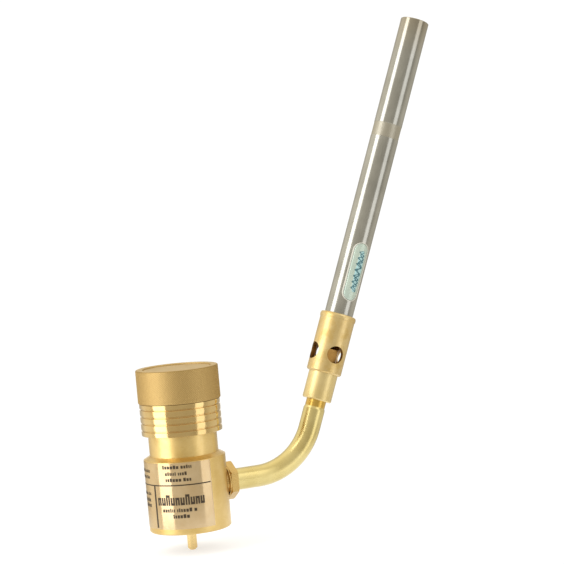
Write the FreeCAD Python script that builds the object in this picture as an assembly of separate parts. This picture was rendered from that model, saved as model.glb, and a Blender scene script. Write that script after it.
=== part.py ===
import FreeCAD, Part
import math
import os

os.makedirs("parts", exist_ok=True)

Vector = FreeCAD.Vector
ORIGIN = Vector(0, 0, 0)
X_AXIS = Vector(1, 0, 0)
Y_AXIS = Vector(0, 1, 0)
Z_AXIS = Vector(0, 0, 1)
FULL_TURN = 360.0
HEXAGON_SIDES = 6

# Valve body: the origin is the centre of its bottom face and +Z points to the knob
BODY_RADIUS = 17.5
BODY_HEIGHT = 32.4
BODY_SHOULDER_WIDTH = 2.5
BODY_SHOULDER_DROP = 1.4
BODY_FOOT_CHAMFER = 0.5

# Inlet socket with the 1 in - 20 UNEF thread of a disposable gas cylinder
SOCKET_MINOR_RADIUS = 12.07
SOCKET_MAJOR_RADIUS = 12.7
SOCKET_PITCH = 1.27
SOCKET_DEPTH = 10.8
SOCKET_THREAD_TURNS = 7
SOCKET_THREAD_OPENING = 0.9
SOCKET_THREAD_OVERLAP = 0.13
SOCKET_LEAD_IN = 0.8

# Inlet probe, screwed up into the floor of the socket
PROBE_RADIUS = 2.1
PROBE_TIP_Z = -9.35
PROBE_TIP_CHAMFER = 0.8
PROBE_BORE_RADIUS = 0.9
NOZZLE_RADIUS = 5.5
NOZZLE_BOTTOM_Z = 3.0
NOZZLE_CHAMFER = 1.0
SEAL_Z = 6.2
SEAL_RADIUS = 5.1
SEAL_CORD_RADIUS = 0.85
SEAL_GROOVE_HALF = 1.0
SEAL_GROOVE_RADIUS = 4.25
PROBE_THREAD_RADIUS = 4.0
PROBE_TOP_Z = 16.5
FILTER_RADIUS = 1.5
FILTER_BOTTOM_Z = 12.5
FILTER_TOP_Z = 16.4

# Inlet valve under the diaphragm
POPPET_CHAMBER_RADIUS = 3.2
POPPET_CHAMBER_TOP_Z = 21.5
SEAT_BOTTOM_Z = 20.9
SEAT_HOLE_RADIUS = 1.2
POPPET_RADIUS = 2.7
POPPET_BOTTOM_Z = 19.3
POPPET_TOP_Z = 20.8
POPPET_BOSS_RADIUS = 1.2
POPPET_BOSS_BOTTOM_Z = 18.4
POPPET_STEM_RADIUS = 0.8
PUSHER_RADIUS = 3.5
PUSHER_BOTTOM_Z = 27.2
PUSHER_TOP_Z = 28.0
POPPET_SPRING_RADIUS = 1.9
POPPET_SPRING_WIRE_RADIUS = 0.3
POPPET_SPRING_BOTTOM_Z = 16.9
POPPET_SPRING_HEIGHT = 2.0
POPPET_SPRING_PITCH = 0.8

# Diaphragm chamber and the parts clamped over it; the pilots centre the regulating spring
CHAMBER_FLOOR_Z = 25.2
CHAMBER_RADIUS = 12.0
LEDGE_Z = 27.0
DIAPHRAGM_THICKNESS = 0.5
DIAPHRAGM_RADIUS = 14.65
DIAPHRAGM_FLAT_RADIUS = 9.5
DIAPHRAGM_RISE = 1.1
SLIP_RING_THICKNESS = 0.6
SLIP_RING_INNER_RADIUS = 12.2
PLATE_BOTTOM_Z = 28.7
PLATE_THICKNESS = 1.0
PLATE_RADIUS = 8.5
PILOT_RADIUS = 4.8
PLATE_PILOT_HEIGHT = 2.3

# Bonnet: the smooth neck between the body and the knob
BONNET_RADIUS = 14.75
BONNET_INNER_RADIUS = 11.5
BONNET_CAP_Z = 43.5
BONNET_TOP_Z = 48.5
BONNET_CHAMFER = 0.6

# Pressure setting: screw, button and spring; M10 x 1.5 thread
SCREW_RADIUS = 5.0
SCREW_THREAD_RADIUS = 4.95
SCREW_TIP_Z = 41.5
SCREW_TOP_Z = 59.9
SCREW_FLAT = 3.9
SCREW_FLAT_BOTTOM_Z = 53.5
SCREW_TAP_RADIUS = 2.5
SCREW_TAP_BOTTOM_Z = 49.8
SCREW_TIP_CHAMFER = 1.0
STOP_RING_INNER_RADIUS = 4.2
STOP_RING_OUTER_RADIUS = 6.6
STOP_RING_BOTTOM_Z = 42.5
STOP_RING_TOP_Z = 43.4
BUTTON_RADIUS = 7.5
BUTTON_BOTTOM_Z = 39.3
BUTTON_TOP_Z = 41.3
BUTTON_PILOT_BOTTOM_Z = 37.3
BUTTON_CHAMFER = 0.5
SPRING_RADIUS = 6.0
SPRING_WIRE_RADIUS = 0.8
SPRING_BOTTOM_Z = 30.6
SPRING_HEIGHT = 7.8
SPRING_PITCH = 2.6

# Control knob
KNOB_BOTTOM_Z = 41.3
RIB_TOP_Z = 55.3
KNOB_TOP_Z = 69.4
RIB_RADIUS = 17.4
RIB_GROOVE_RADIUS = 16.9
RIB_GROOVE_WIDTH = 0.7
RIB_GROOVE_HEIGHTS = (2.5, 5.6, 8.5, 11.65)
GRIP_RADIUS = 17.7
GRIP_CHAMFER = 0.3
KNOB_CAVITY_RADIUS = 15.4
KNOB_CAVITY_TOP_Z = 53.5
KNOB_WEB_Z = 60.0
KNOB_COUNTERBORE_Z = 63.0
KNOB_COUNTERBORE_RADIUS = 5.5
CAP_RADIUS = 14.6
CAP_RECESS_Z = 68.0
CAP_THICKNESS = 0.9
CAP_EDGE_CHAMFER = 0.3
CAP_SCREW_HOLE_RADIUS = 2.6
CAP_SCREW_RADIUS = 2.5
CAP_SCREW_BOTTOM_Z = 50.0
CAP_SCREW_HEAD_RADIUS = 4.25
CAP_SCREW_HEAD_TOP_Z = 67.0
CAP_SCREW_SOCKET_FLATS = 4.0
CAP_SCREW_SOCKET_DEPTH = 2.2

# Outlet along +X: bored seat, gland nut, olive and gas tube
OUTLET_Z = 17.7
GLAND_RADIUS = 6.0
GLAND_START_X = 9.5
SPOT_FACE_X = 17.3
SPOT_FACE_RADIUS = 8.7
PORT_RADIUS = 2.0
PORT_START_X = 7.6
CROSS_PORT_RADIUS = 1.5
NUT_FLATS = 14.3
NUT_FACE_X = 17.9
NUT_END_X = 21.1
NUT_WASHER_RADIUS = 7.1
NUT_SHANK_START_X = 12.6
NUT_BORE_RADIUS = 4.82
NUT_CHAMFER = 0.45
OLIVE_START_X = 10.4
OLIVE_END_X = 12.5
OLIVE_EDGE = 0.7
TUBE_RADIUS = 4.7625
TUBE_WALL = 0.9
TUBE_START_X = 9.8
BEND_START_X = 33.3
BEND_RADIUS = 28.0
BURNER_LEAN = 21.5

# Heights along the burner axis, measured from the end of the bend
NECK_TAPER_Z = 8.3
NECK_BOTTOM_Z = 9.3
NECK_RADIUS = 4.4
NECK_TOP_Z = 16.5
COLLAR_RADIUS = 6.45
COLLAR_BOTTOM_Z = 12.3
COLLAR_TOP_Z = 24.6
COLLAR_CHAMFER = 0.5
COLLAR_SPIGOT_RADIUS = 5.0
COLLAR_SPIGOT_TOP_Z = 26.4
JET_THREAD_RADIUS = 2.6
JET_THREAD_BOTTOM_Z = 20.2
JET_FILTER_BOTTOM_Z = 18.8
JET_FILTER_THICKNESS = 1.2
JET_HEX_FLATS = 8.0
JET_HEX_TOP_Z = 35.4
JET_CONE_RADIUS = 3.6
JET_TIP_RADIUS = 1.4
JET_TIP_Z = 37.6
JET_BORE_RADIUS = 1.2
JET_BORE_TOP_Z = 36.4
JET_ORIFICE_RADIUS = 0.2
SLEEVE_RADIUS = 7.75
SLEEVE_INNER_RADIUS = 5.9
SLEEVE_TOP_Z = 51.3
SLEEVE_CHAMFER = 0.6
SLEEVE_BEAD_RADIUS = 8.0
SLEEVE_BEAD_BOTTOM_Z = 49.0
SLEEVE_BEAD_ROUND = 0.9
SLEEVE_BEAD_SHOULDER = 0.3
AIR_HOLE_RADIUS = 3.8
AIR_HOLE_Z = 33.2
AIR_HOLE_COUNT = 4
VENTURI_BOTTOM_Z = 38.2
VENTURI_THROAT_Z = 39.7
VENTURI_RADIUS = 3.9
BURNER_BOTTOM_Z = 40.7
BURNER_RADIUS = 6.35
BURNER_WALL = 0.6
BURNER_TIP_Z = 186.7
BURNER_TIP_ROUND = 0.28
CRIMP_CENTRE_Z = 135.3
CRIMP_LENGTH = 6.2
CRIMP_DEPTH = 0.12
SWIRL_LENGTH = 9.0
SWIRL_HUB_RADIUS = 1.6
SWIRL_BLADE_COUNT = 6
SWIRL_BLADE_THICKNESS = 0.5
SWIRL_ANGLE = 38.0
HOLDER_BOTTOM_Z = 169.0
HOLDER_THICKNESS = 1.5
HOLDER_HUB_RADIUS = 1.0
HOLDER_HOLE_RADIUS = 1.15
HOLDER_HOLE_CIRCLE = 3.6
HOLDER_HOLE_COUNT = 8

# Labels
LABEL_THICKNESS = 0.12
BODY_LABEL_BOTTOM_Z = 2.6
BODY_LABEL_TOP_Z = 30.7
BODY_LABEL_START_DEG = 102.0
BODY_LABEL_SWEEP_DEG = 184.0
TUBE_LABEL_LENGTH = 27.0
TUBE_LABEL_WIDTH = 8.0
TUBE_LABEL_BOTTOM_Z = 57.3
TUBE_LABEL_ANGLE_DEG = 270.0

# How far a cutting tool runs past the face it opens
OVERRUN = 1.0


def turned(points):
    """Solid of revolution about Z from (radius, height) points."""
    corners = [Vector(radius, 0, height) for radius, height in points]
    outline = Part.makePolygon(corners + [corners[0]])
    return Part.Face(outline).revolve(ORIGIN, Z_AXIS, FULL_TURN)


def rod(radius, bottom, top):
    return Part.makeCylinder(radius, top - bottom, Vector(0, 0, bottom))


def ring(inner, outer, bottom, top):
    return rod(outer, bottom, top).cut(rod(inner, bottom - OVERRUN, top + OVERRUN))


def outlet_rod(radius, start, end):
    """Cylinder along the outlet axis."""
    return Part.makeCylinder(radius, end - start, Vector(start, 0, OUTLET_Z), X_AXIS)


def hexagon(flats, bottom, height):
    """Upright hexagonal prism with two corners on the X axis."""
    reach = flats / math.sqrt(3)
    corners = []
    for index in range(HEXAGON_SIDES + 1):
        angle = 2 * math.pi * index / HEXAGON_SIDES
        corners.append(Vector(reach * math.cos(angle), reach * math.sin(angle), bottom))
    return Part.Face(Part.makePolygon(corners)).extrude(Vector(0, 0, height))


def coil(radius, wire_radius, bottom, height, pitch):
    """Open-ended round-wire compression spring."""
    path = Part.makeHelix(pitch, height, radius)
    section = Part.Wire(Part.makeCircle(wire_radius, Vector(radius, 0, 0), Y_AXIS))
    spring = Part.Wire(path.Edges).makePipeShell([section], True, True)
    spring.translate(Vector(0, 0, bottom))
    return spring


def onto_outlet(shape):
    """Turn a piece built along Z onto the outlet axis."""
    shape.rotate(ORIGIN, Y_AXIS, 90)
    shape.translate(Vector(0, 0, OUTLET_Z))
    return shape


def bend_end():
    turned_through = math.radians(90 - BURNER_LEAN)
    reach = BEND_START_X + BEND_RADIUS * math.sin(turned_through)
    rise = OUTLET_Z + BEND_RADIUS * (1 - math.cos(turned_through))
    return Vector(reach, 0, rise)


def burner_direction():
    lean = math.radians(BURNER_LEAN)
    return Vector(math.sin(lean), 0, math.cos(lean))


def onto_burner(shape):
    """Move a piece built along Z from the origin to the leaning burner axis."""
    shape.rotate(ORIGIN, Y_AXIS, BURNER_LEAN)
    shape.translate(bend_end())
    return shape


def flatted_rod(radius, flat, bottom, top):
    """Round rod with one flat facing +X."""
    trim = Part.makeBox(radius, 2 * radius, top - bottom, Vector(flat, -radius, bottom))
    return rod(radius, bottom, top).cut(trim)


def socket_thread():
    """Annular V grooves standing for the socket thread."""
    grooves = []
    for turn in range(SOCKET_THREAD_TURNS):
        middle = SOCKET_LEAD_IN + SOCKET_PITCH * (turn + 0.5)
        half = SOCKET_PITCH * SOCKET_THREAD_OPENING / 2
        inner = SOCKET_MINOR_RADIUS - SOCKET_THREAD_OVERLAP
        corners = [(inner, middle - half), (SOCKET_MAJOR_RADIUS, middle), (inner, middle + half)]
        grooves.append(turned(corners))
    return grooves


def valve_body():
    outline = [
        (0, 0),
        (BODY_RADIUS - BODY_FOOT_CHAMFER, 0),
        (BODY_RADIUS, BODY_FOOT_CHAMFER),
        (BODY_RADIUS, BODY_HEIGHT - BODY_SHOULDER_DROP),
        (BODY_RADIUS - BODY_SHOULDER_WIDTH, BODY_HEIGHT),
        (0, BODY_HEIGHT),
    ]
    lead_in = Part.makeCone(
        SOCKET_MAJOR_RADIUS, SOCKET_MINOR_RADIUS, SOCKET_LEAD_IN, ORIGIN)
    cuts = [
        rod(SOCKET_MINOR_RADIUS, -OVERRUN, SOCKET_DEPTH),
        lead_in,
        rod(PROBE_THREAD_RADIUS, SOCKET_DEPTH - OVERRUN, PROBE_TOP_Z),
        rod(POPPET_CHAMBER_RADIUS, PROBE_TOP_Z - OVERRUN, POPPET_CHAMBER_TOP_Z),
        rod(SEAT_HOLE_RADIUS, POPPET_CHAMBER_TOP_Z - OVERRUN, CHAMBER_FLOOR_Z + OVERRUN),
        rod(CHAMBER_RADIUS, CHAMBER_FLOOR_Z, LEDGE_Z + OVERRUN),
        rod(BONNET_RADIUS, LEDGE_Z, BODY_HEIGHT + OVERRUN),
        outlet_rod(GLAND_RADIUS, GLAND_START_X, BODY_RADIUS + OVERRUN),
        outlet_rod(PORT_RADIUS, PORT_START_X, GLAND_START_X + OVERRUN),
        outlet_rod(SPOT_FACE_RADIUS, SPOT_FACE_X, BODY_RADIUS + OVERRUN),
    ]
    cross_port = rod(CROSS_PORT_RADIUS, OUTLET_Z, CHAMBER_FLOOR_Z + OVERRUN)
    cross_port.translate(Vector(PORT_START_X, 0, 0))
    cuts.append(cross_port)
    return turned(outline).cut(cuts + socket_thread())


def inlet_probe():
    groove_bottom = SEAL_Z - SEAL_GROOVE_HALF
    groove_top = SEAL_Z + SEAL_GROOVE_HALF
    outline = [
        (PROBE_BORE_RADIUS, PROBE_TIP_Z),
        (PROBE_RADIUS - PROBE_TIP_CHAMFER, PROBE_TIP_Z),
        (PROBE_RADIUS, PROBE_TIP_Z + PROBE_TIP_CHAMFER),
        (PROBE_RADIUS, NOZZLE_BOTTOM_Z),
        (NOZZLE_RADIUS - NOZZLE_CHAMFER, NOZZLE_BOTTOM_Z),
        (NOZZLE_RADIUS, NOZZLE_BOTTOM_Z + NOZZLE_CHAMFER),
        (NOZZLE_RADIUS, groove_bottom),
        (SEAL_GROOVE_RADIUS, groove_bottom),
        (SEAL_GROOVE_RADIUS, groove_top),
        (NOZZLE_RADIUS, groove_top),
        (NOZZLE_RADIUS, SOCKET_DEPTH),
        (PROBE_THREAD_RADIUS, SOCKET_DEPTH),
        (PROBE_THREAD_RADIUS, PROBE_TOP_Z),
        (FILTER_RADIUS, PROBE_TOP_Z),
        (FILTER_RADIUS, FILTER_BOTTOM_Z),
        (PROBE_BORE_RADIUS, FILTER_BOTTOM_Z),
    ]
    return turned(outline)


def inlet_seal():
    return Part.makeTorus(SEAL_RADIUS, SEAL_CORD_RADIUS, Vector(0, 0, SEAL_Z))


def inlet_filter():
    return rod(FILTER_RADIUS, FILTER_BOTTOM_Z, FILTER_TOP_Z)


def valve_seat():
    return ring(SEAT_HOLE_RADIUS, POPPET_CHAMBER_RADIUS, SEAT_BOTTOM_Z, POPPET_CHAMBER_TOP_Z)


def poppet():
    outline = [
        (0, POPPET_BOSS_BOTTOM_Z),
        (POPPET_BOSS_RADIUS, POPPET_BOSS_BOTTOM_Z),
        (POPPET_BOSS_RADIUS, POPPET_BOTTOM_Z),
        (POPPET_RADIUS, POPPET_BOTTOM_Z),
        (POPPET_RADIUS, POPPET_TOP_Z),
        (POPPET_STEM_RADIUS, POPPET_TOP_Z),
        (POPPET_STEM_RADIUS, PUSHER_BOTTOM_Z),
        (PUSHER_RADIUS, PUSHER_BOTTOM_Z),
        (PUSHER_RADIUS, PUSHER_TOP_Z),
        (0, PUSHER_TOP_Z),
    ]
    return turned(outline)


def poppet_spring():
    return coil(POPPET_SPRING_RADIUS, POPPET_SPRING_WIRE_RADIUS, POPPET_SPRING_BOTTOM_Z,
                POPPET_SPRING_HEIGHT, POPPET_SPRING_PITCH)


def diaphragm():
    rim_top = LEDGE_Z + DIAPHRAGM_THICKNESS
    flat_bottom = LEDGE_Z + DIAPHRAGM_RISE
    flat_top = flat_bottom + DIAPHRAGM_THICKNESS
    slope_shift = DIAPHRAGM_THICKNESS / 2
    outline = [
        (0, flat_bottom),
        (DIAPHRAGM_FLAT_RADIUS, flat_bottom),
        (CHAMBER_RADIUS, LEDGE_Z),
        (DIAPHRAGM_RADIUS, LEDGE_Z),
        (DIAPHRAGM_RADIUS, rim_top),
        (CHAMBER_RADIUS - slope_shift, rim_top),
        (DIAPHRAGM_FLAT_RADIUS - slope_shift, flat_top),
        (0, flat_top),
    ]
    return turned(outline)


def slip_ring():
    bottom = LEDGE_Z + DIAPHRAGM_THICKNESS
    return ring(SLIP_RING_INNER_RADIUS, DIAPHRAGM_RADIUS, bottom, bottom + SLIP_RING_THICKNESS)


def diaphragm_plate():
    disc_top = PLATE_BOTTOM_Z + PLATE_THICKNESS
    disc = rod(PLATE_RADIUS, PLATE_BOTTOM_Z, disc_top)
    return disc.fuse(rod(PILOT_RADIUS, disc_top, disc_top + PLATE_PILOT_HEIGHT))


def bonnet():
    bottom = LEDGE_Z + DIAPHRAGM_THICKNESS + SLIP_RING_THICKNESS
    outline = [
        (BONNET_INNER_RADIUS, bottom),
        (BONNET_RADIUS, bottom),
        (BONNET_RADIUS, BONNET_TOP_Z - BONNET_CHAMFER),
        (BONNET_RADIUS - BONNET_CHAMFER, BONNET_TOP_Z),
        (SCREW_RADIUS, BONNET_TOP_Z),
        (SCREW_RADIUS, BONNET_CAP_Z),
        (BONNET_INNER_RADIUS, BONNET_CAP_Z),
    ]
    return turned(outline)


def regulating_spring():
    return coil(SPRING_RADIUS, SPRING_WIRE_RADIUS, SPRING_BOTTOM_Z, SPRING_HEIGHT, SPRING_PITCH)


def spring_button():
    outline = [
        (0, BUTTON_PILOT_BOTTOM_Z),
        (PILOT_RADIUS - BUTTON_CHAMFER, BUTTON_PILOT_BOTTOM_Z),
        (PILOT_RADIUS, BUTTON_PILOT_BOTTOM_Z + BUTTON_CHAMFER),
        (PILOT_RADIUS, BUTTON_BOTTOM_Z),
        (BUTTON_RADIUS, BUTTON_BOTTOM_Z),
        (BUTTON_RADIUS, BUTTON_TOP_Z - BUTTON_CHAMFER),
        (BUTTON_RADIUS - BUTTON_CHAMFER, BUTTON_TOP_Z),
        (0, BUTTON_TOP_Z),
    ]
    return turned(outline)


def adjusting_screw():
    outline = [
        (0, SCREW_TIP_Z),
        (STOP_RING_INNER_RADIUS - SCREW_TIP_CHAMFER, SCREW_TIP_Z),
        (STOP_RING_INNER_RADIUS, SCREW_TIP_Z + SCREW_TIP_CHAMFER),
        (STOP_RING_INNER_RADIUS, STOP_RING_TOP_Z),
        (SCREW_THREAD_RADIUS, STOP_RING_TOP_Z),
        (SCREW_THREAD_RADIUS, SCREW_FLAT_BOTTOM_Z),
        (0, SCREW_FLAT_BOTTOM_Z),
    ]
    head = flatted_rod(SCREW_RADIUS, SCREW_FLAT, SCREW_FLAT_BOTTOM_Z, SCREW_TOP_Z)
    tap = rod(SCREW_TAP_RADIUS, SCREW_TAP_BOTTOM_Z, SCREW_TOP_Z + OVERRUN)
    return turned(outline).fuse(head).cut(tap)


def stop_ring():
    return ring(STOP_RING_INNER_RADIUS, STOP_RING_OUTER_RADIUS, STOP_RING_BOTTOM_Z,
                STOP_RING_TOP_Z)


def knob_outline():
    """Outer edge of the knob from its lower lip up to its top face."""
    points = [(KNOB_CAVITY_RADIUS, KNOB_BOTTOM_Z), (RIB_RADIUS, KNOB_BOTTOM_Z)]
    half = RIB_GROOVE_WIDTH / 2
    for height in RIB_GROOVE_HEIGHTS:
        middle = KNOB_BOTTOM_Z + height
        points.append((RIB_RADIUS, middle - half))
        points.append((RIB_GROOVE_RADIUS, middle))
        points.append((RIB_RADIUS, middle + half))
    points.append((RIB_RADIUS, RIB_TOP_Z))
    points.append((GRIP_RADIUS - GRIP_CHAMFER / 2, RIB_TOP_Z))
    points.append((GRIP_RADIUS, RIB_TOP_Z + GRIP_CHAMFER))
    points.append((GRIP_RADIUS, KNOB_TOP_Z - GRIP_CHAMFER))
    points.append((GRIP_RADIUS - GRIP_CHAMFER, KNOB_TOP_Z))
    return points


def control_knob():
    inside = [
        (0, KNOB_TOP_Z),
        (0, KNOB_CAVITY_TOP_Z),
        (KNOB_CAVITY_RADIUS, KNOB_CAVITY_TOP_Z),
    ]
    cuts = [
        flatted_rod(SCREW_RADIUS, SCREW_FLAT, KNOB_CAVITY_TOP_Z - OVERRUN, KNOB_WEB_Z),
        rod(CAP_SCREW_HOLE_RADIUS, KNOB_WEB_Z - OVERRUN, KNOB_TOP_Z),
        rod(KNOB_COUNTERBORE_RADIUS, KNOB_COUNTERBORE_Z, KNOB_TOP_Z),
        rod(CAP_RADIUS, CAP_RECESS_Z, KNOB_TOP_Z + OVERRUN),
    ]
    return turned(knob_outline() + inside).cut(cuts)


def knob_cap():
    top = CAP_RECESS_Z + CAP_THICKNESS
    outline = [
        (0, CAP_RECESS_Z),
        (CAP_RADIUS, CAP_RECESS_Z),
        (CAP_RADIUS, top - CAP_EDGE_CHAMFER),
        (CAP_RADIUS - CAP_EDGE_CHAMFER, top),
        (0, top),
    ]
    return turned(outline)


def knob_screw():
    shank = rod(CAP_SCREW_RADIUS, CAP_SCREW_BOTTOM_Z, KNOB_COUNTERBORE_Z)
    head = rod(CAP_SCREW_HEAD_RADIUS, KNOB_COUNTERBORE_Z, CAP_SCREW_HEAD_TOP_Z)
    socket_floor = CAP_SCREW_HEAD_TOP_Z - CAP_SCREW_SOCKET_DEPTH
    key_socket = hexagon(CAP_SCREW_SOCKET_FLATS, socket_floor, CAP_SCREW_SOCKET_DEPTH + OVERRUN)
    return shank.fuse(head).cut(key_socket)


def outlet_nut():
    hexagonal = hexagon(NUT_FLATS, NUT_FACE_X, NUT_END_X - NUT_FACE_X)
    corner_radius = NUT_FLATS / math.sqrt(3)
    crown = turned([
        (0, NUT_FACE_X),
        (corner_radius - NUT_CHAMFER, NUT_FACE_X),
        (corner_radius, NUT_FACE_X + NUT_CHAMFER / 2),
        (corner_radius, NUT_END_X - NUT_CHAMFER / 2),
        (corner_radius - NUT_CHAMFER, NUT_END_X),
        (0, NUT_END_X),
    ])
    nut = hexagonal.common(crown)
    nut = nut.fuse(rod(NUT_WASHER_RADIUS, SPOT_FACE_X, NUT_FACE_X))
    nut = nut.fuse(rod(GLAND_RADIUS, NUT_SHANK_START_X, SPOT_FACE_X))
    return onto_outlet(nut.cut(rod(NUT_BORE_RADIUS, 0, NUT_END_X + OVERRUN)))


def outlet_olive():
    outline = [
        (TUBE_RADIUS, OLIVE_START_X),
        (TUBE_RADIUS + OLIVE_EDGE / 2, OLIVE_START_X),
        (GLAND_RADIUS, OLIVE_START_X + OLIVE_EDGE),
        (GLAND_RADIUS, OLIVE_END_X - OLIVE_EDGE),
        (TUBE_RADIUS + OLIVE_EDGE / 2, OLIVE_END_X),
        (TUBE_RADIUS, OLIVE_END_X),
    ]
    return onto_outlet(turned(outline))


def bent_rod(radius):
    """Round bar along the outlet, around the bend and up to the tube's neck."""
    end = bend_end()
    halfway = math.radians((90 - BURNER_LEAN) / 2)
    middle = Vector(
        BEND_START_X + BEND_RADIUS * math.sin(halfway), 0,
        OUTLET_Z + BEND_RADIUS * (1 - math.cos(halfway)))
    first = Vector(TUBE_START_X, 0, OUTLET_Z)
    bend_start = Vector(BEND_START_X, 0, OUTLET_Z)
    last = end + burner_direction() * NECK_TAPER_Z
    path = Part.Wire([
        Part.makeLine(first, bend_start),
        Part.Arc(bend_start, middle, end).toShape(),
        Part.makeLine(end, last),
    ])
    section = Part.Wire(Part.makeCircle(radius, first, X_AXIS))
    return path.makePipeShell([section], True, False)


def gas_tube():
    bore = TUBE_RADIUS - TUBE_WALL
    neck_bore = NECK_RADIUS - TUBE_WALL
    neck = turned([
        (bore, NECK_TAPER_Z),
        (TUBE_RADIUS, NECK_TAPER_Z),
        (NECK_RADIUS, NECK_BOTTOM_Z),
        (NECK_RADIUS, NECK_TOP_Z),
        (neck_bore, NECK_TOP_Z),
        (neck_bore, NECK_BOTTOM_Z),
    ])
    bend = bent_rod(TUBE_RADIUS).cut(bent_rod(bore))
    return bend.fuse(onto_burner(neck)).removeSplitter()


def orifice_collar():
    outline = [
        (NECK_RADIUS, COLLAR_BOTTOM_Z),
        (COLLAR_RADIUS - COLLAR_CHAMFER, COLLAR_BOTTOM_Z),
        (COLLAR_RADIUS, COLLAR_BOTTOM_Z + COLLAR_CHAMFER),
        (COLLAR_RADIUS, COLLAR_TOP_Z),
        (COLLAR_SPIGOT_RADIUS, COLLAR_TOP_Z),
        (COLLAR_SPIGOT_RADIUS, COLLAR_SPIGOT_TOP_Z),
        (JET_THREAD_RADIUS, COLLAR_SPIGOT_TOP_Z),
        (JET_THREAD_RADIUS, NECK_TOP_Z),
        (NECK_RADIUS, NECK_TOP_Z),
    ]
    return onto_burner(turned(outline))


def jet_filter():
    top = JET_FILTER_BOTTOM_Z + JET_FILTER_THICKNESS
    return onto_burner(rod(JET_THREAD_RADIUS, JET_FILTER_BOTTOM_Z, top))


def gas_jet():
    shank = rod(JET_THREAD_RADIUS, JET_THREAD_BOTTOM_Z, COLLAR_SPIGOT_TOP_Z)
    hexagonal = hexagon(JET_HEX_FLATS, COLLAR_SPIGOT_TOP_Z, JET_HEX_TOP_Z - COLLAR_SPIGOT_TOP_Z)
    nose = Part.makeCone(
        JET_CONE_RADIUS, JET_TIP_RADIUS, JET_TIP_Z - JET_HEX_TOP_Z, Vector(0, 0, JET_HEX_TOP_Z))
    bore = rod(JET_BORE_RADIUS, JET_THREAD_BOTTOM_Z - OVERRUN, JET_BORE_TOP_Z)
    orifice = rod(JET_ORIFICE_RADIUS, JET_BORE_TOP_Z - OVERRUN, JET_TIP_Z + OVERRUN)
    return onto_burner(shank.fuse([hexagonal, nose]).cut([bore, orifice]))


def mixer_sleeve():
    shoulder = SLEEVE_BEAD_SHOULDER * SLEEVE_BEAD_ROUND
    outline = [
        (COLLAR_SPIGOT_RADIUS, COLLAR_TOP_Z),
        (SLEEVE_RADIUS - SLEEVE_CHAMFER, COLLAR_TOP_Z),
        (SLEEVE_RADIUS, COLLAR_TOP_Z + SLEEVE_CHAMFER),
        (SLEEVE_RADIUS, SLEEVE_BEAD_BOTTOM_Z),
        (SLEEVE_BEAD_RADIUS, SLEEVE_BEAD_BOTTOM_Z),
        (SLEEVE_BEAD_RADIUS, SLEEVE_TOP_Z - SLEEVE_BEAD_ROUND),
        (SLEEVE_BEAD_RADIUS - shoulder, SLEEVE_TOP_Z - shoulder),
        (SLEEVE_BEAD_RADIUS - SLEEVE_BEAD_ROUND, SLEEVE_TOP_Z),
        (BURNER_RADIUS, SLEEVE_TOP_Z),
        (BURNER_RADIUS, BURNER_BOTTOM_Z),
        (VENTURI_RADIUS, BURNER_BOTTOM_Z),
        (VENTURI_RADIUS, VENTURI_THROAT_Z),
        (SLEEVE_INNER_RADIUS, VENTURI_BOTTOM_Z),
        (SLEEVE_INNER_RADIUS, COLLAR_SPIGOT_TOP_Z),
        (COLLAR_SPIGOT_RADIUS, COLLAR_SPIGOT_TOP_Z),
    ]
    holes = []
    for index in range(AIR_HOLE_COUNT):
        centre = Vector(0, 0, AIR_HOLE_Z)
        hole = Part.makeCylinder(AIR_HOLE_RADIUS, SLEEVE_RADIUS + OVERRUN, centre, X_AXIS)
        hole.rotate(ORIGIN, Z_AXIS, index * FULL_TURN / AIR_HOLE_COUNT)
        holes.append(hole)
    return onto_burner(turned(outline).cut(holes))


def burner_tube():
    inner = BURNER_RADIUS - BURNER_WALL
    waist = BURNER_RADIUS - CRIMP_DEPTH
    crimp_bottom = CRIMP_CENTRE_Z - CRIMP_LENGTH / 2
    crimp_top = CRIMP_CENTRE_Z + CRIMP_LENGTH / 2
    outline = [
        (inner, BURNER_BOTTOM_Z),
        (BURNER_RADIUS, BURNER_BOTTOM_Z),
        (BURNER_RADIUS, crimp_bottom),
        (waist, crimp_bottom + CRIMP_DEPTH),
        (waist, crimp_top - CRIMP_DEPTH),
        (BURNER_RADIUS, crimp_top),
        (BURNER_RADIUS, BURNER_TIP_Z - BURNER_TIP_ROUND),
        (BURNER_RADIUS - BURNER_TIP_ROUND, BURNER_TIP_Z),
        (inner + BURNER_TIP_ROUND, BURNER_TIP_Z),
        (inner, BURNER_TIP_Z - BURNER_TIP_ROUND),
    ]
    return onto_burner(turned(outline))


def swirl_vane():
    bottom = CRIMP_CENTRE_Z - SWIRL_LENGTH / 2
    top = CRIMP_CENTRE_Z + SWIRL_LENGTH / 2
    blades = []
    for index in range(SWIRL_BLADE_COUNT):
        blade = Part.makeBox(
            BURNER_RADIUS, SWIRL_BLADE_THICKNESS, 2 * SWIRL_LENGTH,
            Vector(0, -SWIRL_BLADE_THICKNESS / 2, -SWIRL_LENGTH))
        blade.rotate(ORIGIN, X_AXIS, SWIRL_ANGLE)
        blade.translate(Vector(0, 0, CRIMP_CENTRE_Z))
        blade.rotate(ORIGIN, Z_AXIS, index * FULL_TURN / SWIRL_BLADE_COUNT)
        blades.append(blade)
    hub = rod(SWIRL_HUB_RADIUS, bottom, top)
    swirl = hub.fuse(blades).common(rod(BURNER_RADIUS - BURNER_WALL, bottom, top))
    return onto_burner(swirl)


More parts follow.
